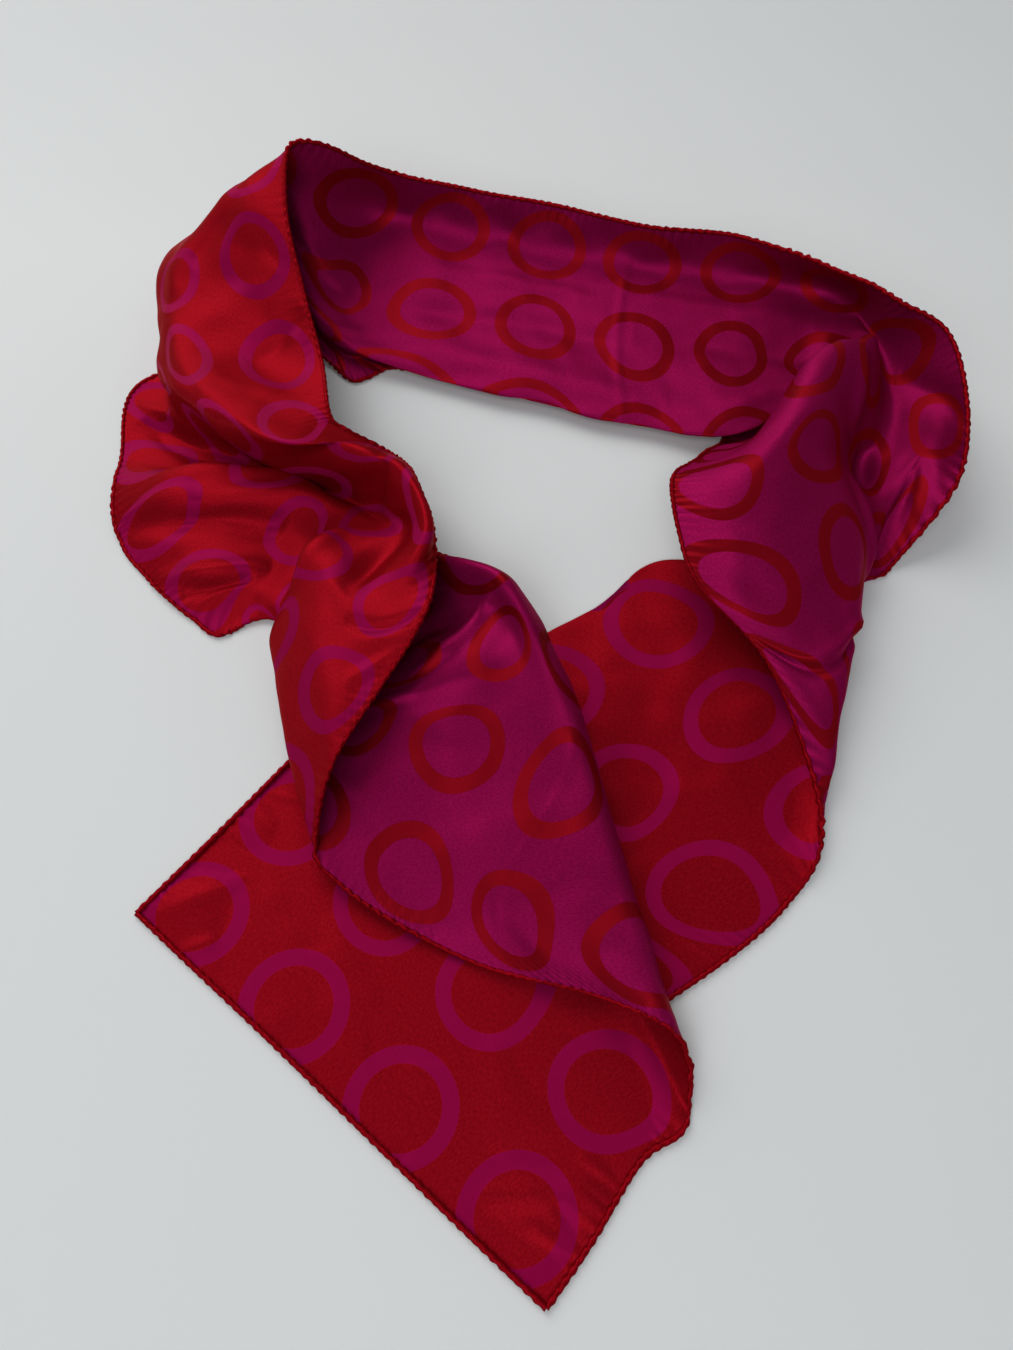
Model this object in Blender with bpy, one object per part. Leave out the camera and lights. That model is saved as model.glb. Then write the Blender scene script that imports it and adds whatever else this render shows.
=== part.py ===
"""Narrow two-faced silk scarf, dropped in a loose loop on a table. Metres, +Z up.

The whole scarf is one strip. Tables of cross sections say where it lies, a smooth surface
runs through them, and each stretch between two folds becomes one closed wall of cloth.
"""

import bpy
import numpy as np
from mathutils import Vector
from mathutils.bvhtree import BVHTree

# ---- the cut ----
SCARF_WIDTH = 0.188

# ---- the wall ----
WALL = 0.0012
HEM_WALL = 0.0018
HEM_REACH = 0.004
SEAM_GAP = 0.0008
CELL = 0.0095
CELLS_ACROSS = 20

# ---- how layers that lie on each other are kept apart ----
LAYER_CLEARANCE = 0.0020
SAME_LAYER_REACH = 0.024
SETTLE_ROUNDS = 30
SETTLE_STEP = 0.5
SETTLE_SPREAD = 0.5
TOUCHING = 1e-7
NORMAL_ROUNDS = 2
SHORTEST_NORMAL = 1e-12

# ---- the frame ----
MILLIMETRE = 0.001
FOOTPRINT_CENTRE = (0.0084, 0.0141)

# Across the scarf a section has six points. They lie this far from the left hem, except that
# in the tail the fifth lies on the fold that runs along it.
ACROSS = (0.0, 0.016, 0.066, 0.116, 0.166, SCARF_WIDTH)
TAIL_ACROSS = (0.0, 0.016, 0.066, 0.116, 0.137, SCARF_WIDTH)

# Each row is one section across the scarf. Its columns are the six points in millimetres:
# the left hem, the fourth, third, second and first row of rings, and the right hem.

END_PANEL = (
    ((-132, -97, 1), (-120, -107, 1), (-81, -139, 1), (-43, -171, 1), (-5, -203, 1), (12, -217, 1)),
    ((-105, -65, 1), (-94, -76, 1), (-59, -112, 1), (-24, -148, 1), (11, -184, 1), (26, -200, 1)),
    ((-78, -32, 1), (-68, -44, 1), (-36, -83, 1), (-3, -121, 1), (29, -160, 1), (43, -177, 1)),
    ((-50, 0, 3), (-37, -7, 4), (-4, -42, 5), (25, -90, 4), (46, -146, 2), (57, -168, 2)),
    ((-25, 31, 4), (-14, 24, 5), (14, -18, 6), (34, -76, 5), (50, -136, 4), (60, -160, 3)),
)
FOLD_BACK = (
    ((-17, 40, 14), (-3, 32, 21), (22, -8, 18), (38, -64, 14), (52, -124, 12), (60, -149, 11)),
    ((-28, 40, 27), (-11, 29, 38), (13, -4, 33), (30, -60, 27), (44, -116, 23), (52, -139, 20)),
    ((-33, 33, 16), (-21, 26, 25), (2, 0, 30), (5, -52, 22), (10, -107, 15), (28, -127, 13)),
    ((-43, 40, 7), (-35, 28, 9), (-13, -5, 29), (-17, -38, 17), (-16, -95, 9), (-8, -116, 4)),
    ((-60, 48, 4), (-53, 35, 5), (-33, -6, 22), (-40, -30, 17), (-43, -80, 9), (-45, -98, 6)),
    ((-78, 46, 3), (-71, 34, 4), (-54, -4, 12), (-62, -26, 12), (-64, -64, 9), (-62, -86, 8)),
    ((-98, 34, 2), (-90, 26, 3), (-76, -2, 7), (-84, -8, 13), (-74, -56, 11), (-68, -80, 10)),
)
COLUMN = (
    ((-116, 18, 2), (-108, 27, 3), (-88, 20, 8), (-92, 4, 16), (-78, -46, 16), (-68, -72, 14)),
    ((-130, 26, 2), (-116, 34, 5), (-87, 34, 9), (-84, 22, 26), (-67, -30, 30), (-62, -50, 28)),
    ((-142, 36, 2), (-124, 40, 6), (-84, 48, 8), (-74, 36, 33), (-54, -8, 35), (-45, -20, 33)),
    ((-154, 48, 2), (-138, 53, 8), (-88, 64, 8), (-63, 50, 27), (-41, 15, 40), (-29, 9, 41)),
    ((-165, 62, 2), (-149, 67, 10), (-92, 79, 19), (-56, 66, 17), (-30, 40, 46), (-30, 52, 30)),
    ((-172, 80, 5), (-152, 84, 14), (-106, 93, 12), (-74, 84, 12), (-41, 69, 46), (-39, 80, 28)),
    ((-174, 108, 3), (-154, 102, 5), (-120, 108, 7), (-98, 92, 16), (-60, 84, 42), (-50, 94, 26)),
    ((-173, 152, 5), (-160, 142, 5), (-148, 128, 26), (-122, 102, 38), (-82, 84, 45), (-68, 99, 34)),
    ((-140, 170, 4), (-152, 165, 6), (-160, 152, 18), (-139, 132, 36), (-92, 108, 38), (-74, 104, 38)),
)
UPPER_LEFT = (
    ((-118, 178, 3), (-132, 184, 4), (-158, 186, 14), (-151, 170, 34), (-101, 146, 32), (-81, 138, 36)),
    ((-98, 180, 3), (-112, 194, 4), (-148, 212, 22), (-150, 200, 42), (-113, 188, 50), (-92, 176, 50)),
    ((-84, 168, 3), (-96, 182, 4), (-124, 216, 22), (-132, 220, 46), (-117, 212, 64), (-98, 204, 64)),
    ((-74, 158, 2), (-84, 172, 4), (-102, 200, 16), (-112, 224, 40), (-108, 228, 64), (-97, 226, 74)),
)
TOP_BAND = (
    ((-66, 160, 2), (-76, 170, 4), (-88, 182, 12), (-85, 204, 19), (-90, 230, 50), (-82, 234, 70)),
    ((-58, 165, 2), (-68, 170, 4), (-74, 171, 11), (-70, 200, 14), (-68, 242, 34), (-62, 243, 53)),
    ((-40, 166, 2), (-28, 176, 3), (-44, 157, 8), (-33, 191, 14), (-27, 234, 27), (-21, 240, 44)),
    ((12, 192, 2), (15, 178, 3), (13, 139, 8), (14, 183, 13), (20, 222, 25), (24, 230, 42)),
    ((55, 178, 2), (59, 164, 3), (62, 124, 8), (60, 170, 13), (65, 212, 24), (66, 218, 40)),
    ((92, 154, 2), (100, 145, 3), (104, 118, 11), (106, 165, 13), (112, 206, 23), (112, 210, 40)),
    ((100, 124, 2), (112, 124, 4), (137, 140, 14), (145, 160, 12), (156, 194, 26), (153, 180, 45)),
)
CORNER = (
    ((84, 98, 18), (96, 96, 22), (131, 131, 45), (159, 143, 42), (168, 166, 27), (172, 159, 48)),
    ((72, 82, 28), (88, 80, 36), (129, 104, 47), (160, 121, 26), (178, 143, 25), (190, 142, 46)),
    ((67, 66, 34), (84, 62, 40), (128, 84, 40), (157, 98, 10), (186, 105, 28), (192, 97, 38)),
)
RIGHT_FALL = (
    ((69, 48, 31), (87, 42, 35), (133, 62, 34), (157, 74, 14), (181, 90, 20), (187, 77, 28)),
    ((75, 27, 27), (95, 21, 28), (138, 38, 27), (152, 50, 10), (161, 66, 5), (166, 54, 4)),
    ((101, -6, 19), (115, -18, 18), (134, -2, 16), (131, 30, 4), (146, 42, 2), (153, 46, 1)),
    ((113, -44, 12), (120, -46, 12), (122, -8, 7), (110, 36, 3), (120, 46, 2), (130, 50, 1)),
)
TAIL = (
    ((115, -72, 6), (116, -58, 3), (100, -12, 4), (84, 36, 3), (72, 54, 2), (67, 61, 1)),
    ((100, -94, 1), (88, -78, 1), (68, -36, 2), (48, 12, 3), (37, 30, 2), (32, 37, 1)),
    ((74, -115, 1), (56, -104, 1), (34, -58, 1), (12, -12, 3), (1, 8, 2), (-4, 15, 1)),
    ((50, -130, 1), (40, -119, 1), (15, -71, 1), (-13, -25, 3), (-24, -6, 2), (-29, 1, 1)),
)

# The tail is folded under along its upper edge: its two layers share one solid, as wide as shown.
TAIL_FOLD = 0.137
FLOOR_REACH = 0.0008
TAIL_FLOOR_REACH = 0.004

RED = (0.42, 0.008, 0.02, 1.0)
MAGENTA = (0.30, 0.006, 0.10, 1.0)

# Name, sections, where their six points lie across, the width that is modelled, the height
# under which its underside lies on the table, and the colour of the face that shows.
STRETCHES = (
    ("end_panel", END_PANEL, ACROSS, SCARF_WIDTH, FLOOR_REACH, RED),
    ("fold_back", FOLD_BACK, ACROSS, SCARF_WIDTH, FLOOR_REACH, MAGENTA),
    ("column", COLUMN, ACROSS, SCARF_WIDTH, FLOOR_REACH, RED),
    ("upper_left", UPPER_LEFT, ACROSS, SCARF_WIDTH, FLOOR_REACH, RED),
    ("top_band", TOP_BAND, ACROSS, SCARF_WIDTH, FLOOR_REACH, MAGENTA),
    ("corner", CORNER, ACROSS, SCARF_WIDTH, FLOOR_REACH, MAGENTA),
    ("right_fall", RIGHT_FALL, ACROSS, SCARF_WIDTH, FLOOR_REACH, MAGENTA),
    ("tail", TAIL, TAIL_ACROSS, TAIL_FOLD, TAIL_FLOOR_REACH, RED),
)
SATIN_ROUGHNESS = 0.42


def smooth_curve(knots, values, places):
    """Run a smooth curve through the values at the knots and read it at the places."""
    knots, values, places = (np.asarray(numbers, float) for numbers in (knots, values, places))
    along = (-1,) + (1,) * (values.ndim - 1)
    step = (knots[1:] - knots[:-1]).reshape(along)
    slope = (values[1:] - values[:-1]) / step
    tangent = np.concatenate([
        slope[:1],
        (slope[:-1] * step[1:] + slope[1:] * step[:-1]) / (step[1:] + step[:-1]),
        slope[-1:],
    ])
    span = np.clip(np.searchsorted(knots, places, side="right") - 1, 0, len(knots) - 2)
    part = (places - knots[span]).reshape(along) / step[span]
    rest = 1.0 - part
    return (
        (1.0 + 2.0 * part) * rest**2 * values[span]
        + part * rest**2 * step[span] * tangent[span]
        + part**2 * (3.0 - 2.0 * part) * values[span + 1]
        - part**2 * rest * step[span] * tangent[span + 1]
    )


def section_rows():
    """Gather all sections: their six points, where those lie across, and the stretch of each."""
    points, across, owner = [], [], []
    for number, (_name, rows, places, _width, _reach, _colour) in enumerate(STRETCHES):
        for row in rows:
            points.append(row)
            across.append(places)
            owner.append(number)
    return np.array(points, float) * MILLIMETRE, np.array(across), np.array(owner)


def distance_along(points):
    """Give each section its place along the strip, by the mean way its points travel."""
    travel = np.linalg.norm(points[1:] - points[:-1], axis=-1).mean(axis=1)
    return np.concatenate([[0.0], np.cumsum(travel)])


def lay_strip(places, widths):
    """Find the middle surface of the cloth at each place along and each width across."""
    points, across, _owner = section_rows()
    knots = distance_along(points)
    sections = smooth_curve(knots, points, places)
    offsets = smooth_curve(knots, across, places)
    strip = [smooth_curve(offset, section, widths) for offset, section in zip(offsets, sections)]
    return np.stack(strip)


def keep_layers_apart(strip, places, widths):
    """Push parts of the strip away from other parts that lie closer than the clearance."""
    rows, columns, _xyz = strip.shape
    faces = grid_faces(rows, columns)
    place_of = np.repeat(places, columns)
    width_of = np.tile(widths, rows)
    points = strip.reshape(-1, 3).copy()
    for _round in range(SETTLE_ROUNDS):
        tree = BVHTree.FromPolygons([Vector(point) for point in points], faces)
        push = np.zeros_like(points)
        for number, point in enumerate(points):
            for near, _normal, face, distance in tree.find_nearest_range(Vector(point), LAYER_CLEARANCE):
                corner = faces[face][0]
                same_place = abs(place_of[corner] - place_of[number]) < SAME_LAYER_REACH
                same_width = abs(width_of[corner] - width_of[number]) < SAME_LAYER_REACH
                if distance > TOUCHING and not (same_place and same_width):
                    away = (point - np.array(near)) / distance
                    wanted = away * (LAYER_CLEARANCE - distance) * SETTLE_STEP
                    if np.linalg.norm(wanted) > np.linalg.norm(push[number]):
                        push[number] = wanted
        if not push.any():
            break
        spread = push.reshape(strip.shape)
        spread = spread + SETTLE_SPREAD * neighbour_mean(spread)
        points = points + spread.reshape(-1, 3)
        points[:, 2] = np.maximum(points[:, 2], WALL / 2.0)
    return points.reshape(strip.shape)


def grid_faces(rows, columns):
    """List the four corners of each cell of a grid, counted row by row."""
    faces = []
    for row in range(rows - 1):
        for column in range(columns - 1):
            corner = row * columns + column
            faces.append((corner, corner + 1, corner + columns + 1, corner + columns))
    return faces


def neighbour_mean(field):
    """Average each entry of a grid of vectors with the four around it."""
    padded = np.pad(field, ((1, 1), (1, 1), (0, 0)), mode="edge")
    return (padded[:-2, 1:-1] + padded[2:, 1:-1] + padded[1:-1, :-2] + padded[1:-1, 2:]) / 4.0


def facing(strip):
    """Find the direction in which the red face of the cloth looks at each grid point."""
    normal = unit(np.cross(np.gradient(strip, axis=1), np.gradient(strip, axis=0)))
    for _round in range(NORMAL_ROUNDS):
        normal = unit(normal + neighbour_mean(normal))
    return normal


def unit(field):
    """Bring each vector of a field to length one."""
    return field / np.maximum(np.linalg.norm(field, axis=-1, keepdims=True), SHORTEST_NORMAL)


def share_at_seams(normal, pieces):
    """Give the two edges of each seam one direction, so that their cut faces stay parallel."""
    seam = 0
    for piece in pieces[:-1]:
        seam += len(piece)
        normal[seam - 1] = normal[seam] = unit(normal[seam - 1] + normal[seam])
    return normal


def half_walls(widths):
    """Give half the wall's thickness at each width: the rolled hems are thicker."""
    to_edge = np.minimum(widths, SCARF_WIDTH - widths)
    hem = np.clip(1.0 - to_edge / HEM_REACH, 0.0, 1.0)
    return (WALL + (HEM_WALL - WALL) * hem) / 2.0


def rest_on_table(upper, lower, floor_reach):
    """Bring the side that faces down to the table where it is nearer to it than the reach."""
    lower_faces_down = lower[..., 2] <= upper[..., 2]
    for side, faces_down in ((lower, lower_faces_down), (upper, ~lower_faces_down)):
        side[..., 2] = np.where(faces_down & (side[..., 2] < floor_reach), 0.0, side[..., 2])


def closed_wall(name, middle, normal, half, floor_reach, colour):
    """Make one stretch a closed wall around its middle surface, flat where it meets the table."""
    rows, columns, _xyz = middle.shape
    upper = middle + normal * half[None, :, None]
    lower = middle - normal * half[None, :, None]
    rest_on_table(upper, lower, floor_reach)
    vertices = np.concatenate([upper.reshape(-1, 3), lower.reshape(-1, 3)])
    under = rows * columns
    faces = []
    for loop in grid_faces(rows, columns):
        faces.append(loop)
        faces.append(tuple(under + index for index in reversed(loop)))
    rim = [column for column in range(columns)]
    rim += [row * columns + columns - 1 for row in range(1, rows)]
    rim += [(rows - 1) * columns + column for column in range(columns - 2, -1, -1)]
    rim += [row * columns for row in range(rows - 2, 0, -1)]
    for here, there in zip(rim, rim[1:] + rim[:1]):
        faces.append((there, here, under + here, under + there))
    mesh = bpy.data.meshes.new(name)
    mesh.from_pydata(vertices.tolist(), [], faces)
    mesh.update()
    mesh.shade_smooth()
    mesh.materials.append(cloth_material(name, colour))
    body = bpy.data.objects.new(name, mesh)
    bpy.context.collection.objects.link(body)
    return body


def cloth_material(name, colour):
    """Silk satin in the colour of the face that shows."""
    material = bpy.data.materials.new(name)
    material.use_nodes = True
    shader = material.node_tree.nodes["Principled BSDF"]
    shader.inputs["Base Color"].default_value = colour
    shader.inputs["Roughness"].default_value = SATIN_ROUGHNESS
    shader.inputs["Metallic"].default_value = 0.0
    return material


def stretch_ends():
    """Give the place along the strip where each stretch begins, and where the last one ends."""
    points, _across, owner = section_rows()
    knots = distance_along(points)
    starts = [knots[np.argmax(owner == number)] for number in range(len(STRETCHES))]
    return starts + [knots[-1]]


def build_scarf():
    """Cut the strip at the section where each stretch begins and make every stretch a wall."""
    ends = stretch_ends()
    widths = np.linspace(0.0, SCARF_WIDTH, CELLS_ACROSS + 1)
    pieces = []
    for start, end in zip(ends, ends[1:]):
        first = start + (SEAM_GAP / 2.0 if start > 0.0 else 0.0)
        last = end - (SEAM_GAP / 2.0 if end < ends[-1] else 0.0)
        cells = max(2, round((last - first) / CELL))
        pieces.append(np.linspace(first, last, cells + 1))
    places = np.concatenate(pieces)
    strip = lay_strip(places, widths)
    strip[..., 2] = np.maximum(strip[..., 2], WALL / 2.0)
    strip = keep_layers_apart(strip, places, widths)
    strip[..., 0] -= FOOTPRINT_CENTRE[0]
    strip[..., 1] -= FOOTPRINT_CENTRE[1]
    normal = share_at_seams(facing(strip), pieces)
    half = half_walls(widths)
    begin = 0
    for (name, _rows, _across, width, floor_reach, colour), piece in zip(STRETCHES, pieces):
        rows = slice(begin, begin + len(piece))
        shown = int(np.searchsorted(widths, width + CELL / 4.0))
        closed_wall(name, strip[rows, :shown], normal[rows, :shown], half[:shown], floor_reach, colour)
        begin += len(piece)


for leftover in list(bpy.data.objects):
    bpy.data.objects.remove(leftover)
build_scarf()
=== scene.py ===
import math
import bpy
import numpy as np
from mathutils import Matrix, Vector


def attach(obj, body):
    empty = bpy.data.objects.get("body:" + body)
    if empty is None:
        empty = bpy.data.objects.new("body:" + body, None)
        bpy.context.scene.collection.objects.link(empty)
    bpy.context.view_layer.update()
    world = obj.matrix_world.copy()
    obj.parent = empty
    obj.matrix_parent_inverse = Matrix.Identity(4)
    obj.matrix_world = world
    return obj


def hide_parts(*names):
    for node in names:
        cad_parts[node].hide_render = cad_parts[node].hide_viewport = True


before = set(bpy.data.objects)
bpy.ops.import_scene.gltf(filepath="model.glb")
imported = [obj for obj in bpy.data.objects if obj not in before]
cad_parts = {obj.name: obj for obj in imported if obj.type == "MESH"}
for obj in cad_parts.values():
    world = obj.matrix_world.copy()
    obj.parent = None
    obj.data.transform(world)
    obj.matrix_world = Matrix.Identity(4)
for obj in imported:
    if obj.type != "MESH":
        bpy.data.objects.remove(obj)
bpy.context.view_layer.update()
print("frame loaded")

# The cut of the scarf, in metres.
cut = {
    "width": 0.188,
    "ringPitch": 0.0475,  # along the scarf
    "rowPitch": 0.050,  # from one row of rings to the next
    "firstRow": 0.016,  # from the left hem to the middle of the first row
    "rows": 4,
    "tailFold": 0.137,  # the tail is folded under along one edge, this far from its left hem
    "clothThickness": 0.00036,
    "gridStep": 0.0013,
    "sinkToTable": 0.0007,  # the cloth is thinner than its CAD wall, so it lies this much lower
    "tableGap": 0.00005,
}
millimetre = 0.001
footprintCentre = (0.0084, 0.0141)  # where the photograph's ground point lies from the part's origin

# Across the scarf each section has six points, this far from the left hem.
ringRows = [cut["firstRow"] + cut["rowPitch"] * row for row in range(cut["rows"])]
acrossFlat = (0.0, *ringRows, cut["width"])
acrossTail = (0.0, *ringRows[:-1], cut["tailFold"], cut["width"])

# One row for each section: the left hem, the fourth, third, second and first row of rings, and the
# right hem. The rings of a stretch give each section its ring column at the left hem, at the right
# hem and the bow between them.
endPanelFolds = (
    ((-132, -97, 1), (-120, -107, 1), (-81, -139, 1), (-43, -171, 1), (-5, -203, 1), (12, -217, 1)),
    ((-105, -65, 1), (-94, -76, 1), (-59, -112, 1), (-24, -148, 1), (11, -184, 1), (26, -200, 1)),
    ((-78, -32, 1), (-68, -44, 1), (-36, -83, 1), (-3, -121, 1), (29, -160, 1), (43, -177, 1)),
    ((-50, 0, 3), (-37, -7, 4), (-4, -42, 5), (25, -90, 4), (46, -146, 2), (57, -168, 2)),
    ((-25, 31, 4), (-14, 24, 5), (14, -18, 6), (34, -76, 5), (50, -136, 4), (60, -160, 3)),
)
endPanelRings = (
    (0.73, 0.73, 0), (1.6, 1.2, 0), (2.5, 1.8, 0), (3.4, 2.2, 0), (4.2, 2.3, 0),
)
foldBackFolds = (
    ((-17, 40, 14), (-3, 32, 21), (22, -8, 18), (38, -64, 14), (52, -124, 12), (60, -149, 11)),
    ((-28, 40, 27), (-11, 29, 38), (13, -4, 33), (30, -60, 27), (44, -116, 23), (52, -139, 20)),
    ((-33, 33, 16), (-21, 26, 25), (2, 0, 30), (5, -52, 22), (10, -107, 15), (28, -127, 13)),
    ((-43, 40, 7), (-35, 28, 9), (-13, -5, 29), (-17, -38, 17), (-16, -95, 9), (-8, -116, 4)),
    ((-60, 48, 4), (-53, 35, 5), (-33, -6, 22), (-40, -30, 17), (-43, -80, 9), (-45, -98, 6)),
    ((-78, 46, 3), (-71, 34, 4), (-54, -4, 12), (-62, -26, 12), (-64, -64, 9), (-62, -86, 8)),
    ((-98, 34, 2), (-90, 26, 3), (-76, -2, 7), (-84, -8, 13), (-74, -56, 11), (-68, -80, 10)),
)
foldBackRings = (
    (4.75, 2.5, 0), (5.15, 2.7, 0.1), (5.5, 3.4, 0.2), (5.8, 4.3, 0.1), (6.2, 5.1, 0),
    (6.9, 5.6, 0), (7.8, 5.8, 0),
)
columnFolds = (
    ((-116, 18, 2), (-108, 27, 3), (-88, 20, 8), (-92, 4, 16), (-78, -46, 16), (-68, -72, 14)),
    ((-130, 26, 2), (-116, 34, 5), (-87, 34, 9), (-84, 22, 26), (-67, -30, 30), (-62, -50, 28)),
    ((-142, 36, 2), (-124, 40, 6), (-84, 48, 8), (-74, 36, 33), (-54, -8, 35), (-45, -20, 33)),
    ((-154, 48, 2), (-138, 53, 8), (-88, 64, 8), (-63, 50, 27), (-41, 15, 40), (-29, 9, 41)),
    ((-165, 62, 2), (-149, 67, 10), (-92, 79, 19), (-56, 66, 17), (-30, 40, 46), (-30, 52, 30)),
    ((-172, 80, 5), (-152, 84, 14), (-106, 93, 12), (-74, 84, 12), (-41, 69, 46), (-39, 80, 28)),
    ((-174, 108, 3), (-154, 102, 5), (-120, 108, 7), (-98, 92, 16), (-60, 84, 42), (-50, 94, 26)),
    ((-173, 152, 5), (-160, 142, 5), (-148, 128, 26), (-122, 102, 38), (-82, 84, 45), (-68, 99, 34)),
    ((-140, 170, 4), (-152, 165, 6), (-160, 152, 18), (-139, 132, 36), (-92, 108, 38), (-74, 104, 38)),
)
columnRings = (
    (8.6, 5.95, 0), (8.9, 6.5, 0), (9.2, 7.2, 0), (9.6, 7.95, 0), (10.0, 8.6, 0), (10.5, 9.3, 0),
    (11.0, 10.0, 0), (12.2, 10.5, 0), (13.0, 11.1, 0),
)
upperLeftFolds = (
    ((-118, 178, 3), (-132, 184, 4), (-158, 186, 14), (-151, 170, 34), (-101, 146, 32), (-81, 138, 36)),
    ((-98, 180, 3), (-112, 194, 4), (-148, 212, 22), (-150, 200, 42), (-113, 188, 50), (-92, 176, 50)),
    ((-84, 168, 3), (-96, 182, 4), (-124, 216, 22), (-132, 220, 46), (-117, 212, 64), (-98, 204, 64)),
    ((-74, 158, 2), (-84, 172, 4), (-102, 200, 16), (-112, 224, 40), (-108, 228, 64), (-97, 226, 74)),
)
upperLeftRings = (
    (13.8, 11.9, 0), (14.5, 12.8, 0), (15.0, 13.5, 0), (15.4, 14.1, -0.25),
)
topBandFolds = (
    ((-66, 160, 2), (-76, 170, 4), (-88, 182, 12), (-85, 204, 19), (-90, 230, 50), (-82, 234, 70)),
    ((-58, 165, 2), (-68, 170, 4), (-74, 171, 11), (-70, 200, 14), (-68, 242, 34), (-62, 243, 53)),
    ((-40, 166, 2), (-28, 176, 3), (-44, 157, 8), (-33, 191, 14), (-27, 234, 27), (-21, 240, 44)),
    ((12, 192, 2), (15, 178, 3), (13, 139, 8), (14, 183, 13), (20, 222, 25), (24, 230, 42)),
    ((55, 178, 2), (59, 164, 3), (62, 124, 8), (60, 170, 13), (65, 212, 24), (66, 218, 40)),
    ((92, 154, 2), (100, 145, 3), (104, 118, 11), (106, 165, 13), (112, 206, 23), (112, 210, 40)),
    ((100, 124, 2), (112, 124, 4), (137, 140, 14), (145, 160, 12), (156, 194, 26), (153, 180, 45)),
)
topBandRings = (
    (15.6, 14.5, -0.1), (15.8, 15.0, 0), (16.1, 16.0, 0), (17.0, 17.0, 0), (18.0, 18.0, 0),
    (19.0, 19.0, 0), (20.0, 20.0, 0),
)
cornerFolds = (
    ((84, 98, 18), (96, 96, 22), (131, 131, 45), (159, 143, 42), (168, 166, 27), (172, 159, 48)),
    ((72, 82, 28), (88, 80, 36), (129, 104, 47), (160, 121, 26), (178, 143, 25), (190, 142, 46)),
    ((67, 66, 34), (84, 62, 40), (128, 84, 40), (157, 98, 10), (186, 105, 28), (192, 97, 38)),
)
cornerRings = (
    (21.0, 20.6, 0), (21.6, 21.2, 0), (22.1, 22.0, 0),
)
rightFallFolds = (
    ((69, 48, 31), (87, 42, 35), (133, 62, 34), (157, 74, 14), (181, 90, 20), (187, 77, 28)),
    ((75, 27, 27), (95, 21, 28), (138, 38, 27), (152, 50, 10), (161, 66, 5), (166, 54, 4)),
    ((101, -6, 19), (115, -18, 18), (134, -2, 16), (131, 30, 4), (146, 42, 2), (153, 46, 1)),
    ((113, -44, 12), (120, -46, 12), (122, -8, 7), (110, 36, 3), (120, 46, 2), (130, 50, 1)),
)
rightFallRings = (
    (22.6, 22.5, 0), (23.1, 23.0, 0), (24.1, 23.7, 0), (24.6, 24.0, 0),
)
tailFolds = (
    ((115, -72, 6), (116, -58, 3), (100, -12, 4), (84, 36, 3), (72, 54, 2), (96, 12, 1)),
    ((100, -94, 1), (88, -78, 1), (68, -36, 2), (48, 12, 3), (37, 30, 2), (62, -12, 1)),
    ((74, -115, 1), (56, -104, 1), (34, -58, 1), (12, -12, 3), (1, 8, 2), (28, -34, 1)),
    ((50, -130, 1), (40, -119, 1), (15, -71, 1), (-13, -25, 3), (-24, -6, 2), (3, -49, 1)),
)
tailRings = (
    (25.1, 24.2, 0), (25.7, 25.1, 0), (26.5, 26.0, 0), (27.2, 27.0, 0),
)

# Each stretch of the scarf is one piece of cloth over one node of the CAD. "shown" is how much of
# the scarf's width shows there, the rest of it lies folded or gathered underneath.
red, magenta = "red_satin", "magenta_satin"
stretches = {
    "endPanel": {
        "node": "end_panel", "folds": endPanelFolds, "rings": endPanelRings, "across": acrossFlat,
        "slot": red, "held": "laid", "shown": 0.188,
    },
    "foldBack": {
        "node": "fold_back", "folds": foldBackFolds, "rings": foldBackRings, "across": acrossFlat,
        "slot": magenta, "held": "folded", "shown": 0.150,
    },
    "column": {
        "node": "column", "folds": columnFolds, "rings": columnRings, "across": acrossFlat,
        "slot": red, "held": "folded", "shown": 0.135,
    },
    "upperLeft": {
        "node": "upper_left", "folds": upperLeftFolds, "rings": upperLeftRings, "across": acrossFlat,
        "slot": red, "held": "draped", "shown": 0.135,
    },
    "topBand": {
        "node": "top_band", "folds": topBandFolds, "rings": topBandRings, "across": acrossFlat,
        "slot": magenta, "held": "draped", "shown": 0.150,
    },
    "corner": {
        "node": "corner", "folds": cornerFolds, "rings": cornerRings, "across": acrossFlat,
        "slot": magenta, "held": "folded", "shown": 0.150,
    },
    "rightFall": {
        "node": "right_fall", "folds": rightFallFolds, "rings": rightFallRings, "across": acrossFlat,
        "slot": magenta, "held": "folded", "shown": 0.140,
    },
    "tail": {
        "node": "tail", "folds": tailFolds, "rings": tailRings, "across": acrossTail,
        "slot": red, "held": "laid", "shown": 0.160,
    },
}


# The strip as one smooth surface.
def smoothCurve(knots, values, places):
    # a smooth curve through the values at the knots, read at the places
    knots, values, places = (np.asarray(numbers, float) for numbers in (knots, values, places))
    along = (-1,) + (1,) * (values.ndim - 1)
    step = (knots[1:] - knots[:-1]).reshape(along)
    slope = (values[1:] - values[:-1]) / step
    middle = (slope[:-1] * step[1:] + slope[1:] * step[:-1]) / (step[1:] + step[:-1])
    tangent = np.concatenate([slope[:1], middle, slope[-1:]])
    span = np.clip(np.searchsorted(knots, places, side="right") - 1, 0, len(knots) - 2)
    part = (places - knots[span]).reshape(along) / step[span]
    rest = 1.0 - part
    return (
        (1.0 + 2.0 * part) * rest**2 * values[span]
        + part * rest**2 * step[span] * tangent[span]
        + part**2 * (3.0 - 2.0 * part) * values[span + 1]
        - part**2 * rest * step[span] * tangent[span + 1]
    )


def gatherSections():
    points, columns, across, owner = [], [], [], []
    for number, stretch in enumerate(stretches.values()):
        for section, ringColumns in zip(stretch["folds"], stretch["rings"]):
            columns.append(ringColumns)
            points.append(section)
            across.append(stretch["across"])
            owner.append(number)
    points = np.array(points, float) * millimetre
    return points, np.array(columns, float), np.array(across), np.array(owner)


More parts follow.
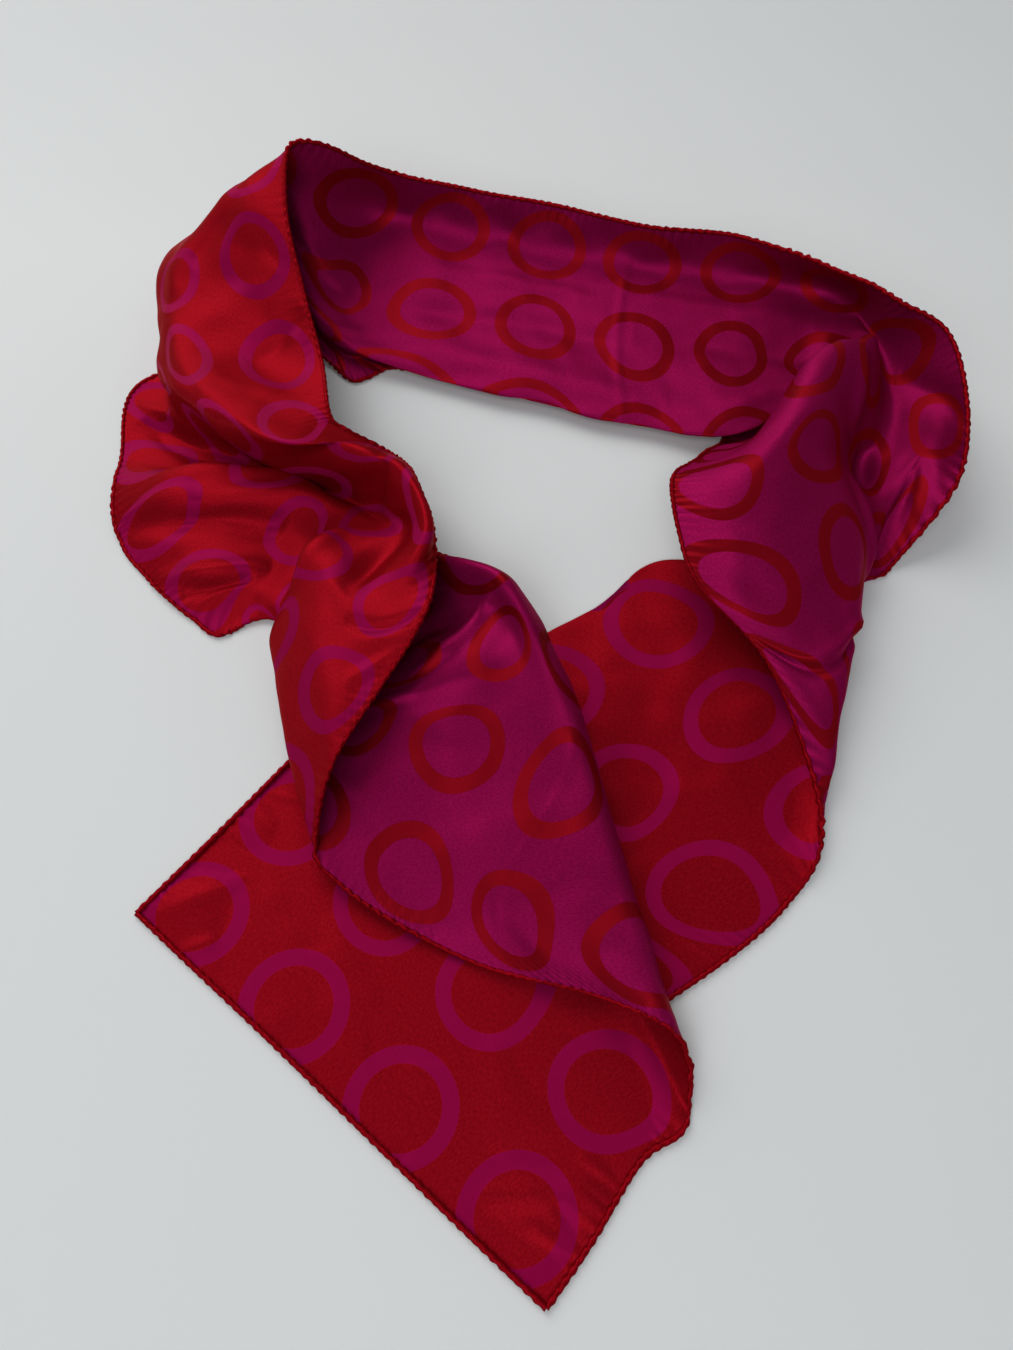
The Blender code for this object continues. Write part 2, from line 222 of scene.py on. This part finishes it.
def layStrip(points, columns, across, knots, places, widths):
    # the place in space of each grid point, and the ring column that it lies on
    sections = smoothCurve(knots, points, places)
    offsets = smoothCurve(knots, across, places)
    crossing = smoothCurve(knots, columns, places)
    strip = np.stack([smoothCurve(offset, section, widths) for offset, section in zip(offsets, sections)])
    share = widths[None, :] / cut["width"]
    bow = 4.0 * share * (1.0 - share)
    ringColumn = crossing[:, :1] * (1.0 - share) + crossing[:, 1:2] * share + crossing[:, 2:3] * bow
    return strip, ringColumn


def unit(field):
    shortest = 1e-12
    return field / np.maximum(np.linalg.norm(field, axis=-1, keepdims=True), shortest)


def facing(strip):
    # the direction in which the red face of the cloth looks
    return unit(np.cross(np.gradient(strip, axis=1), np.gradient(strip, axis=0)))


# Soft creases placed over the smooth strip: from a ring column and the millimetres from
# the left hem to another such point, then the height towards the red face and the half width in
# millimetres. Troughs have a negative height.
creases = (
    # square end: soft pulls in from its hems, some of them short and sharp
    (0.9, 150, 1.5, 186, 1.2, 5),
    (1.02, 168, 1.06, 187, 0.8, 2.2),
    (1.22, 172, 1.17, 187, -0.7, 1.8),
    (1.55, 170, 1.62, 187, 0.7, 2.0),
    (1.80, 176, 1.76, 187, -0.6, 1.6),
    (1.18, 1, 1.30, 14, 0.8, 2.2),
    (1.46, 1, 1.42, 11, -0.7, 1.8),
    (2.05, 1, 2.14, 16, 0.7, 2.2),
    (2.62, 1, 2.58, 12, -0.6, 2.0),
    (0.76, 22, 0.98, 30, 0.6, 2.4),
    (0.76, 128, 0.92, 122, -0.5, 2.4),
    (1.4, 60, 2.0, 8, -0.9, 6),
    (0.8, 4, 1.5, 22, 1.3, 5),
    (2.0, 184, 2.6, 140, -1.0, 6),
    (1.1, 96, 1.7, 120, -0.6, 9),
    (2.3, 30, 3.1, 70, 0.8, 10),
    # fold-back: the pressed line through its rings, and the lip with the hollow behind it
    (4.15, 178, 3.95, 84, -0.5, 2.0),
    (4.6, 150, 4.5, 96, 0.8, 6),
    (5.05, 30, 5.85, 76, -3.2, 4.5),
    (5.45, 30, 6.35, 62, 4.2, 6),
    (5.6, 92, 6.3, 104, -1.2, 7),
    (4.9, 172, 5.7, 150, 0.9, 5),
    # column: the tongue and the hollow beside it, then the folds of the side lobe
    (7.4, 114, 8.8, 106, 4.0, 7),
    (7.8, 142, 9.15, 137, -5.2, 6.5),
    (8.3, 168, 9.6, 165, 1.4, 6),
    (9.25, 118, 9.9, 172, -3.4, 5),
    (7.6, 150, 7.85, 187, -2.4, 3.5),
    (7.1, 168, 7.5, 186, 1.4, 4),
    (10.9, 0, 9.6, 92, 4.6, 7),
    (11.7, 10, 10.2, 84, -7.5, 8.5),
    (10.2, 2, 9.15, 58, -4.6, 6),
    (9.45, 0, 8.8, 44, 2.8, 5),
    (9.1, 4, 8.75, 34, -2.4, 4),
    (11.9, 4, 11.7, 40, 2.2, 5),
    # upper left: its side bulges out, with soft dents and pulls from the hem
    (12.6, 84, 14.6, 88, 6.0, 14),
    (13.1, 130, 13.7, 168, -1.6, 8),
    (12.3, 120, 12.9, 176, 1.6, 7),
    (12.0, 150, 12.4, 186, -1.4, 4),
    (13.9, 150, 14.3, 184, -1.2, 5),
    # top band: long uneven waves and one pressed line across
    (15.6, 142, 17.9, 140, -1.0, 6),
    (17.6, 146, 20.2, 138, -1.3, 7),
    (15.5, 117, 18.2, 115, 1.5, 8),
    (18.0, 121, 20.3, 118, 1.9, 8),
    (15.9, 92, 18.3, 88, -1.8, 8),
    (18.2, 84, 20.2, 96, -1.4, 8),
    (17.86, 184, 17.8, 62, -0.45, 2.2),
    (16.4, 182, 16.9, 148, 0.8, 6),
    # corner: the pleat that ends in a hollow, and pulls beside it
    (22.15, 95, 23.3, 96, -3.0, 4),
    (21.75, 119, 22.3, 113, 5.0, 7.5),
    (20.9, 104, 21.7, 96, -2.2, 5),
    (21.3, 160, 22.0, 184, 1.8, 6),
    (22.4, 150, 22.8, 182, -1.8, 5),
    # right fall: the step across it and a long soft hollow
    (23.68, 2, 23.62, 96, -2.0, 2.6),
    (23.80, 2, 23.74, 96, 2.4, 2.4),
    (23.0, 44, 23.9, 60, 1.4, 9),
    (22.5, 20, 23.4, 6, -0.9, 5),
    # tail: gentle waves that run in from its hem
    (25.6, 110, 26.3, 60, 0.9, 10),
    (25.3, 8, 25.9, 52, -0.7, 7),
    (26.6, 12, 27.0, 60, 0.7, 7),
)
wrinkleLook = {
    "creaseFade": 0.7,  # less makes a crease end more bluntly
    "hemPucker": 0.00038,
    "puckerSpacing": 0.0046,
    "puckerReach": 0.0058,
    "puckerSlant": 0.006,
    "puckerWaves": 4,
    "puckerWander": (0.5, 1.4),
    "wanderLengths": (0.009, 0.03),
    "swellLengths": (0.006, 0.02),
    "swellShare": 0.3,
    "ripple": 0.00016,
    "rippleWaves": 14,
    "rippleLengths": (0.012, 0.05),
    "discDome": 0.00045,  # the cloth inside a ring stands up a little
    "discRadius": 0.0165,
    "discUneven": 0.4,
    "seed": 11,
}
fullTurn = 2.0 * math.pi


def creaseHeight(ringColumn, widths):
    # how far the listed creases move the cloth towards its red face
    along = ringColumn * cut["ringPitch"]
    aside = np.broadcast_to(widths[None, :], along.shape)
    height = np.zeros_like(along)
    for startColumn, startWidth, endColumn, endWidth, rise, halfWidth in creases:
        start = np.array([startColumn * cut["ringPitch"], startWidth * millimetre])
        end = np.array([endColumn * cut["ringPitch"], endWidth * millimetre])
        run = end - start
        length = np.linalg.norm(run)
        share = ((along - start[0]) * run[0] + (aside - start[1]) * run[1]) / length**2
        off = ((along - start[0]) * run[1] - (aside - start[1]) * run[0]) / length
        fade = np.clip(1.0 - (2.0 * share - 1.0) ** 2, 0.0, 1.0) ** wrinkleLook["creaseFade"]
        height += rise * millimetre * fade * np.exp(-((off / (halfWidth * millimetre)) ** 2))
    return height


def hemPuckers(along, aside, draw):
    # puckers that run in from the two stitched hems
    look = wrinkleLook
    height = np.zeros_like(along)
    for edge in (aside, cut["width"] - aside):
        wander = np.zeros_like(along)
        swell = np.ones_like(along)
        for _wave in range(look["puckerWaves"]):
            depth = draw.uniform(*look["puckerWander"])
            wander += depth * np.sin(along / draw.uniform(*look["wanderLengths"]) + draw.uniform(0, 6.28))
            beat = np.sin(along / draw.uniform(*look["swellLengths"]) + draw.uniform(0, 6.28))
            swell += look["swellShare"] * beat
        slant = edge / look["puckerSlant"] * draw.uniform(0.6, 1.0)
        wave = np.sin(fullTurn * along / look["puckerSpacing"] + wander + slant)
        height += look["hemPucker"] * swell * wave * np.exp(-edge / look["puckerReach"])
    return height


def faintRipple(along, aside, draw):
    # a faint uneven ripple all over
    look = wrinkleLook
    longest = look["rippleLengths"][1]
    height = np.zeros_like(along)
    for _wave in range(look["rippleWaves"]):
        angle = draw.uniform(0, math.pi)
        length = draw.uniform(*look["rippleLengths"])
        phase = draw.uniform(0, 6.28)
        wave = np.sin(fullTurn * (along * math.cos(angle) + aside * math.sin(angle)) / length + phase)
        height += look["ripple"] * wave * length / longest
    return height


def ringDomes(ringColumn, along, aside):
    # the cloth inside each ring stands up, some more than others
    look = wrinkleLook
    column = np.round(ringColumn)
    row = np.round((aside - cut["firstRow"]) / cut["rowPitch"])
    alongOff = along - column * cut["ringPitch"]
    acrossOff = aside - cut["firstRow"] - row * cut["rowPitch"]
    share = np.clip(np.hypot(alongOff, acrossOff) / look["discRadius"], 0.0, 1.0)
    swell = 1.0 - look["discUneven"] + look["discUneven"] * np.sin(column * 2.3 + row * 1.7)
    return look["discDome"] * swell * 0.5 * (1.0 + np.cos(math.pi * share))


def fineHeight(ringColumn, widths):
    along = ringColumn * cut["ringPitch"]
    aside = np.broadcast_to(widths[None, :], along.shape)
    draw = np.random.default_rng(wrinkleLook["seed"])
    height = hemPuckers(along, aside, draw)
    height += faintRipple(along, aside, draw)
    return height + ringDomes(ringColumn, along, aside)


# Effects that more than one material uses.
def newGroup(name, inputs, outputs):
    group = bpy.data.node_groups.new(name, "ShaderNodeTree")
    for label, kind, value in inputs:
        socket = group.interface.new_socket(label, in_out="INPUT", socket_type=kind)
        if value is not None:
            socket.default_value = value
    for label, kind in outputs:
        group.interface.new_socket(label, in_out="OUTPUT", socket_type=kind)
    return group, group.nodes.new("NodeGroupInput"), group.nodes.new("NodeGroupOutput")


def maths(tree, operation, *values, clamp=False):
    node = tree.nodes.new("ShaderNodeMath")
    node.operation = operation
    node.use_clamp = clamp
    for socket, value in zip(node.inputs, values):
        if isinstance(value, (int, float)):
            socket.default_value = value
        else:
            tree.links.new(value, socket)
    return node.outputs[0]


def blend(tree, share, first, second):
    node = tree.nodes.new("ShaderNodeMix")
    node.data_type = "RGBA"
    tree.links.new(share, node.inputs["Factor"])
    for socket, colour in ((node.inputs[6], first), (node.inputs[7], second)):
        if isinstance(colour, tuple):
            socket.default_value = colour
        else:
            tree.links.new(colour, socket)
    return node.outputs[2]


def ringWeaveGroup():
    # a mask that is 1 on the woven rings: plain circles in four rows, repeated along the scarf
    group, given, result = newGroup(
        "ringWeave",
        [
            ("Cloth", "NodeSocketVector", None),
            ("Pitch Along", "NodeSocketFloat", cut["ringPitch"]),
            ("Pitch Across", "NodeSocketFloat", cut["rowPitch"]),
            ("First Row", "NodeSocketFloat", cut["firstRow"]),
            ("Outer Radius", "NodeSocketFloat", 0.0195),
            ("Inner Radius", "NodeSocketFloat", 0.0135),
            ("Edge Softness", "NodeSocketFloat", 0.0003),
        ],
        [("Ring", "NodeSocketFloat")],
    )
    split = group.nodes.new("ShaderNodeSeparateXYZ")
    group.links.new(given.outputs["Cloth"], split.inputs[0])
    alongShare = maths(group, "DIVIDE", split.outputs[0], given.outputs["Pitch Along"])
    alongOff = maths(group, "SUBTRACT", alongShare, maths(group, "ROUND", alongShare))
    alongOff = maths(group, "MULTIPLY", alongOff, given.outputs["Pitch Along"])
    fromRow = maths(group, "SUBTRACT", split.outputs[1], given.outputs["First Row"])
    acrossShare = maths(group, "DIVIDE", fromRow, given.outputs["Pitch Across"])
    acrossOff = maths(group, "SUBTRACT", acrossShare, maths(group, "ROUND", acrossShare))
    acrossOff = maths(group, "MULTIPLY", acrossOff, given.outputs["Pitch Across"])
    alongSquare = maths(group, "POWER", alongOff, 2.0)
    acrossSquare = maths(group, "POWER", acrossOff, 2.0)
    radius = maths(group, "SQRT", maths(group, "ADD", alongSquare, acrossSquare))
    outside = maths(group, "SUBTRACT", given.outputs["Outer Radius"], radius)
    outside = maths(group, "DIVIDE", outside, given.outputs["Edge Softness"], clamp=True)
    inside = maths(group, "SUBTRACT", radius, given.outputs["Inner Radius"])
    inside = maths(group, "DIVIDE", inside, given.outputs["Edge Softness"], clamp=True)
    group.links.new(maths(group, "MULTIPLY", outside, inside), result.inputs["Ring"])
    return group


def threadGrainGroup():
    # fine threads: a twill line and a fleck of uneven filaments
    group, given, result = newGroup(
        "threadGrain",
        [
            ("Cloth", "NodeSocketVector", None),
            ("Thread Pitch", "NodeSocketFloat", 0.0005),
            ("Twill Slant", "NodeSocketFloat", 0.7),
            ("Fleck Size", "NodeSocketFloat", 0.0006),
            ("Fleck Shape", "NodeSocketVector", (0.45, 1.0, 1.0)),  # the flecks run along the threads
        ],
        [("Twill", "NodeSocketFloat"), ("Fleck", "NodeSocketFloat"), ("Height", "NodeSocketFloat")],
    )
    split = group.nodes.new("ShaderNodeSeparateXYZ")
    group.links.new(given.outputs["Cloth"], split.inputs[0])
    lean = maths(group, "MULTIPLY", split.outputs[0], given.outputs["Twill Slant"])
    cross = maths(group, "ADD", split.outputs[1], lean)
    turn = maths(group, "DIVIDE", cross, given.outputs["Thread Pitch"])
    wave = maths(group, "SINE", maths(group, "MULTIPLY", turn, fullTurn))
    twill = maths(group, "MULTIPLY_ADD", wave, 0.5, 0.5)
    scale = maths(group, "DIVIDE", 1.0, given.outputs["Fleck Size"])
    sizeNode = group.nodes.new("ShaderNodeVectorMath")
    sizeNode.operation = "SCALE"
    group.links.new(given.outputs["Cloth"], sizeNode.inputs[0])
    group.links.new(scale, sizeNode.inputs["Scale"])
    longWays = group.nodes.new("ShaderNodeVectorMath")
    longWays.operation = "MULTIPLY"
    group.links.new(sizeNode.outputs[0], longWays.inputs[0])
    group.links.new(given.outputs["Fleck Shape"], longWays.inputs[1])
    noise = group.nodes.new("ShaderNodeTexNoise")
    noise.inputs["Scale"].default_value = 1.0
    noise.inputs["Detail"].default_value = 2.0
    group.links.new(longWays.outputs[0], noise.inputs["Vector"])
    group.links.new(twill, result.inputs["Twill"])
    group.links.new(noise.outputs["Fac"], result.inputs["Fleck"])
    height = maths(group, "ADD", maths(group, "MULTIPLY", twill, 0.5), noise.outputs["Fac"])
    group.links.new(height, result.inputs["Height"])
    return group


# The two faces of the cloth.
redFaceLook = {
    "ground": (0.255, 0.0020, 0.0080, 1.0),
    "groundFleck": (0.350, 0.0045, 0.0120, 1.0),
    "ring": (0.262, 0.0018, 0.0440, 1.0),
    "ringFleck": (0.335, 0.0032, 0.0670, 1.0),
    "groundRoughness": 0.50,
    "ringRoughness": 0.54,
    "groundMetal": 0.60,
    "ringMetal": 0.45,
    "edgeTint": (0.95, 0.10, 0.14, 1.0),
    "anisotropy": 0.60,
    "ringTurn": 0.25,
    "bump": 0.12,
}
magentaFaceLook = {
    "ground": (0.240, 0.0026, 0.0520, 1.0),
    "groundFleck": (0.320, 0.0048, 0.0760, 1.0),
    "ring": (0.205, 0.0022, 0.0070, 1.0),
    "ringFleck": (0.275, 0.0038, 0.0095, 1.0),
    "groundRoughness": 0.50,
    "ringRoughness": 0.45,
    "groundMetal": 0.62,
    "ringMetal": 0.60,
    "edgeTint": (0.90, 0.10, 0.40, 1.0),
    "anisotropy": 0.60,
    "ringTurn": 0.25,
    "bump": 0.10,
}
hemLook = {
    "colour": (0.190, 0.0012, 0.0050, 1.0),
    "fleck": (0.330, 0.0030, 0.0090, 1.0),
    "roughness": 0.42,
    "metal": 0.60,
    "edgeTint": (0.95, 0.10, 0.14, 1.0),
    "bump": 0.20,
}


fleckLook = {"start": 0.35, "gain": 3.0}


def faceMaterial(name, look, ringWeave, threadGrain):
    material = bpy.data.materials.new(name)
    material.use_nodes = True
    tree = material.node_tree
    shader = tree.nodes["Principled BSDF"]
    cloth = tree.nodes.new("ShaderNodeUVMap")
    cloth.uv_map = "cloth"
    rings = tree.nodes.new("ShaderNodeGroup")
    rings.node_tree = ringWeave
    threads = tree.nodes.new("ShaderNodeGroup")
    threads.node_tree = threadGrain
    for node in (rings, threads):
        tree.links.new(cloth.outputs["UV"], node.inputs["Cloth"])
    fleck = maths(tree, "SUBTRACT", threads.outputs["Fleck"], fleckLook["start"])
    fleck = maths(tree, "MULTIPLY", fleck, fleckLook["gain"], clamp=True)
    ground = blend(tree, fleck, look["ground"], look["groundFleck"])
    ring = blend(tree, threads.outputs["Twill"], look["ring"], look["ringFleck"])
    tree.links.new(blend(tree, rings.outputs["Ring"], ground, ring), shader.inputs["Base Color"])
    roughStep = look["ringRoughness"] - look["groundRoughness"]
    roughness = maths(tree, "MULTIPLY_ADD", rings.outputs["Ring"], roughStep, look["groundRoughness"])
    tree.links.new(roughness, shader.inputs["Roughness"])
    metalStep = look["ringMetal"] - look["groundMetal"]
    metal = maths(tree, "MULTIPLY_ADD", rings.outputs["Ring"], metalStep, look["groundMetal"])
    tree.links.new(metal, shader.inputs["Metallic"])
    shader.inputs["Anisotropic"].default_value = look["anisotropy"]
    # the threads of the rings run across those of the ground, so the two shine at different slopes
    threadTurn = maths(tree, "MULTIPLY", rings.outputs["Ring"], look["ringTurn"])
    tree.links.new(threadTurn, shader.inputs["Anisotropic Rotation"])
    shader.inputs["Specular IOR Level"].default_value = 0.08
    shader.inputs["Specular Tint"].default_value = look["edgeTint"]
    threadWay = tree.nodes.new("ShaderNodeTangent")
    threadWay.direction_type = "UV_MAP"
    threadWay.uv_map = "cloth"
    tree.links.new(threadWay.outputs["Tangent"], shader.inputs["Tangent"])
    bump = tree.nodes.new("ShaderNodeBump")
    bump.inputs["Strength"].default_value = look["bump"]
    bump.inputs["Distance"].default_value = 0.0002
    tree.links.new(threads.outputs["Height"], bump.inputs["Height"])
    tree.links.new(bump.outputs["Normal"], shader.inputs["Normal"])
    return material


def hemMaterial(threadGrain):
    material = bpy.data.materials.new("rolledHemSilk")
    material.use_nodes = True
    tree = material.node_tree
    shader = tree.nodes["Principled BSDF"]
    cloth = tree.nodes.new("ShaderNodeUVMap")
    cloth.uv_map = "cloth"
    threads = tree.nodes.new("ShaderNodeGroup")
    threads.node_tree = threadGrain
    tree.links.new(cloth.outputs["UV"], threads.inputs["Cloth"])
    colour = blend(tree, threads.outputs["Fleck"], hemLook["colour"], hemLook["fleck"])
    tree.links.new(colour, shader.inputs["Base Color"])
    shader.inputs["Roughness"].default_value = hemLook["roughness"]
    shader.inputs["Metallic"].default_value = hemLook["metal"]
    shader.inputs["Specular IOR Level"].default_value = 0.08
    shader.inputs["Specular Tint"].default_value = hemLook["edgeTint"]
    bump = tree.nodes.new("ShaderNodeBump")
    bump.inputs["Strength"].default_value = hemLook["bump"]
    bump.inputs["Distance"].default_value = 0.0003
    tree.links.new(threads.outputs["Height"], bump.inputs["Height"])
    tree.links.new(bump.outputs["Normal"], shader.inputs["Normal"])
    return material


# Meshes.
def addMesh(name, vertices, faces, faceMaterials, materials, cloth, normals):
    mesh = bpy.data.meshes.new(name)
    mesh.from_pydata(vertices.tolist(), [], faces)
    for material in materials:
        mesh.materials.append(material)
    mesh.polygons.foreach_set("material_index", faceMaterials)
    layer = mesh.uv_layers.new(name="cloth")
    corners = np.empty(len(mesh.loops), int)
    mesh.loops.foreach_get("vertex_index", corners)
    layer.data.foreach_set("uv", cloth[corners].ravel())
    mesh.shade_smooth()
    if normals is not None:
        mesh.normals_split_custom_set_from_vertices(normals.tolist())
    mesh.update()
    piece = bpy.data.objects.new(name, mesh)
    bpy.context.collection.objects.link(piece)
    return piece


def clothPiece(name, strip, normal, cloth, materials):
    # a closed thin shell: the red face, the magenta face and a rim
    rows, columns, _xyz = strip.shape
    half = cut["clothThickness"] / 2.0
    upper = (strip + normal * half).reshape(-1, 3)
    lower = (strip - normal * half).reshape(-1, 3)
    under = rows * columns
    corner = (np.arange(rows - 1)[:, None] * columns + np.arange(columns - 1)[None, :]).ravel()
    loops = np.stack([corner, corner + 1, corner + columns + 1, corner + columns], axis=1)
    rim = list(range(columns))
    rim += [row * columns + columns - 1 for row in range(1, rows)]
    rim += [(rows - 1) * columns + column for column in range(columns - 2, -1, -1)]
    rim += [row * columns for row in range(rows - 2, 0, -1)]
    edges = [(there, here, under + here, under + there) for here, there in zip(rim, rim[1:] + rim[:1])]
    faces = loops.tolist() + (loops[:, ::-1] + under).tolist() + edges
    faceMaterials = [0] * len(loops) + [1] * len(loops) + [0] * len(edges)
    flat = cloth.reshape(-1, 2)
    return addMesh(
        name,
        np.concatenate([upper, lower]),
        faces,
        faceMaterials,
        materials,
        np.concatenate([flat, flat]),
        np.concatenate([normal.reshape(-1, 3), -normal.reshape(-1, 3)]),
    )


hemRoll = {
    "radius": 0.00100,
    "sides": 10,
    "step": 0.0007,
    "twistPitch": 0.0034,  # from one slanting stitch to the next
    "twistDepth": 0.16,
    "swell": 0.10,
    "lift": 0.00125,  # its middle lies at least this far above the table
}


def hemTube(rim, inner, upward, startLength):
    # one rolled hem along the rim of the cloth: a tube pinched by slanting stitches
    outward = unit(rim - inner)
    edge = rim.copy()
    edge[:, 2] = np.maximum(edge[:, 2], hemRoll["lift"])
    travel = np.concatenate([[0.0], np.cumsum(np.linalg.norm(np.diff(edge, axis=0), axis=1))])
    places = np.linspace(0.0, travel[-1], max(8, round(travel[-1] / hemRoll["step"])))
    centre, out, up = (
        np.stack([np.interp(places, travel, field[:, axis]) for axis in range(3)], axis=1)
        for field in (edge, outward, upward)
    )
    turn = np.linspace(0.0, fullTurn, hemRoll["sides"], endpoint=False)
    length = places[:, None] + startLength
    twist = np.cos(turn[None, :] * 2.0 - fullTurn * length / hemRoll["twistPitch"])
    swell = np.sin(fullTurn * length / wrinkleLook["puckerSpacing"] + 1.3 * np.sin(length / 0.013))
    radius = hemRoll["radius"] * (1.0 + hemRoll["twistDepth"] * twist + hemRoll["swell"] * swell)
    ring = out[:, None, :] * np.cos(turn)[None, :, None] + up[:, None, :] * np.sin(turn)[None, :, None]
    points = centre[:, None, :] + ring * radius[:, :, None]
    cloth = np.stack(np.broadcast_arrays(length, radius * turn[None, :]), axis=-1)
    return points, cloth


def hemPiece(name, tubes, material):
    vertices, faces, cloth = [], [], []
    start = 0
    for points, flat in tubes:
        rings, sides, _xyz = points.shape
        vertices.append(points.reshape(-1, 3))
        cloth.append(flat.reshape(-1, 2))
        for ring in range(rings - 1):
            for side in range(sides):
                here = start + ring * sides + side
                there = start + ring * sides + (side + 1) % sides
                faces.append((here, there, there + sides, here + sides))
        faces.append(tuple(start + side for side in range(sides - 1, -1, -1)))
        faces.append(tuple(start + (rings - 1) * sides + side for side in range(sides)))
        start += rings * sides
    return addMesh(
        name,
        np.concatenate(vertices),
        faces,
        [0] * len(faces),
        [material],
        np.concatenate(cloth),
        None,
    )


# Lay the scarf.
points, columns, across, owner = gatherSections()
travel = np.linalg.norm(points[1:] - points[:-1], axis=-1).mean(axis=1)
knots = np.concatenate([[0.0], np.cumsum(travel)])
starts = [knots[np.argmax(owner == number)] for number in range(len(stretches))] + [knots[-1]]
counts = [round((end - start) / cut["gridStep"]) for start, end in zip(starts, starts[1:])]
places = np.concatenate(
    [np.linspace(start, end, count, endpoint=False) for start, end, count in zip(starts, starts[1:], counts)]
    + [knots[-1:]]
)
widths = np.linspace(0.0, cut["width"], round(cut["width"] / cut["gridStep"]) + 1)
strip, ringColumn = layStrip(points, columns, across, knots, places, widths)
normal = facing(strip)
strip = strip + normal * (creaseHeight(ringColumn, widths) + fineHeight(ringColumn, widths))[..., None]
lowest = cut["clothThickness"] / 2.0 + cut["tableGap"]
strip[..., 2] = np.maximum(strip[..., 2] - cut["sinkToTable"], lowest)
strip[..., 0] -= footprintCentre[0]
strip[..., 1] -= footprintCentre[1]
normal = facing(strip)
cloth = np.stack([ringColumn * cut["ringPitch"], np.broadcast_to(widths[None, :], ringColumn.shape)], axis=-1)
print("strip laid:", strip.shape)

ringWeave = ringWeaveGroup()
threadGrain = threadGrainGroup()
redFace = faceMaterial("redSatinFace", redFaceLook, ringWeave, threadGrain)
magentaFace = faceMaterial("magentaTwillFace", magentaFaceLook, ringWeave, threadGrain)
hemSilk = hemMaterial(threadGrain)
print("materials made")

begin = 0
for (name, stretch), count in zip(stretches.items(), counts):
    rows = slice(begin, begin + count + 1)
    begin += count
    piece = clothPiece(name + "Cloth", strip[rows], normal[rows], cloth[rows], [redFace, magentaFace])
    hems = [(0, 1)] if name == "tail" else [(0, 1), (-1, -2)]  # the tail's other hem is folded under
    tubes = [
        hemTube(strip[rows, rim], strip[rows, inner], normal[rows, rim], cloth[rows, rim][0, 0])
        for rim, inner in hems
    ]
    if name == "endPanel":
        tubes.append(hemTube(strip[0], strip[1], normal[0], 0.0))
    if name == "tail":
        tubes.append(hemTube(strip[-1], strip[-2], normal[-1], 0.0))
    hem = hemPiece(name + "Hem", tubes, hemSilk)
    for part in (piece, hem):
        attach(part, "root")
    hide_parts(stretch["node"])
print("cloth and hems made")

# Table, light and camera.
tableLook = {
    "size": 3.0,
    "riseStart": 0.235,
    "rise": ((0.0, 0.0), (0.05, 0.004), (0.15, 0.03), (0.5, 0.22), (1.0, 0.6)),  # it curves up behind
    "colour": (0.81, 0.815, 0.815, 1.0),
    "roughness": 0.75,
}


def makeTable():
    mesh = bpy.data.meshes.new("tableTop")
    half = tableLook["size"] / 2.0
    profile = [(-half, 0.0)] + [(tableLook["riseStart"] + run, rise) for run, rise in tableLook["rise"]]
    vertices = [(side * half, y, z) for y, z in profile for side in (-1, 1)]
    faces = [(2 * row, 2 * row + 1, 2 * row + 3, 2 * row + 2) for row in range(len(profile) - 1)]
    mesh.from_pydata(vertices, [], faces)
    mesh.shade_smooth()
    table = bpy.data.objects.new("tableTop", mesh)
    bpy.context.collection.objects.link(table)
    material = bpy.data.materials.new("paleTable")
    material.use_nodes = True
    shader = material.node_tree.nodes["Principled BSDF"]
    shader.inputs["Base Color"].default_value = tableLook["colour"]
    shader.inputs["Roughness"].default_value = tableLook["roughness"]
    mesh.materials.append(material)


lights = {
    "windowBack": {"place": (-0.58, 0.92, 1.10), "size": 1.3, "power": 12.5, "colour": (1.0, 0.99, 0.97)},
    "fillFront": {"place": (-0.30, -1.00, 1.20), "size": 1.0, "power": 8.5, "colour": (0.93, 0.98, 1.0)},
}
sky = {"strength": 0.24, "colour": (0.93, 0.97, 1.0, 1.0)}


def makeLights():
    for name, look in lights.items():
        light = bpy.data.lights.new(name, "AREA")
        light.energy = look["power"]
        light.size = look["size"]
        light.color = look["colour"]
        lamp = bpy.data.objects.new(name, light)
        bpy.context.collection.objects.link(lamp)
        lamp.location = look["place"]
        lamp.rotation_euler = Vector(look["place"]).to_track_quat("Z", "Y").to_euler()
    world = bpy.data.worlds.new("softRoom")
    world.use_nodes = True
    background = world.node_tree.nodes["Background"]
    background.inputs["Color"].default_value = sky["colour"]
    background.inputs["Strength"].default_value = sky["strength"]
    bpy.context.scene.world = world


photoView = {
    "place": (0.0, -0.1925, 0.3605),  # from the photograph's ground point
    "pitch": 61.9,  # degrees below level
    "focalPixels": 1014.0,
    "imageHeight": 1350.0,
    "sensor": 36.0,
}


def makeCamera():
    camera = bpy.data.cameras.new("photoCamera")
    camera.sensor_fit = "VERTICAL"
    camera.sensor_height = photoView["sensor"]
    camera.lens = photoView["sensor"] * photoView["focalPixels"] / photoView["imageHeight"]
    viewer = bpy.data.objects.new("photoCamera", camera)
    bpy.context.collection.objects.link(viewer)
    x, y, z = photoView["place"]
    viewer.location = (x - footprintCentre[0], y - footprintCentre[1], z)
    viewer.rotation_euler = (math.radians(90.0 - photoView["pitch"]), 0.0, 0.0)
    bpy.context.scene.camera = viewer


makeTable()
makeLights()
makeCamera()
bpy.context.scene.view_settings.view_transform = "Standard"
print("table, light and camera set")
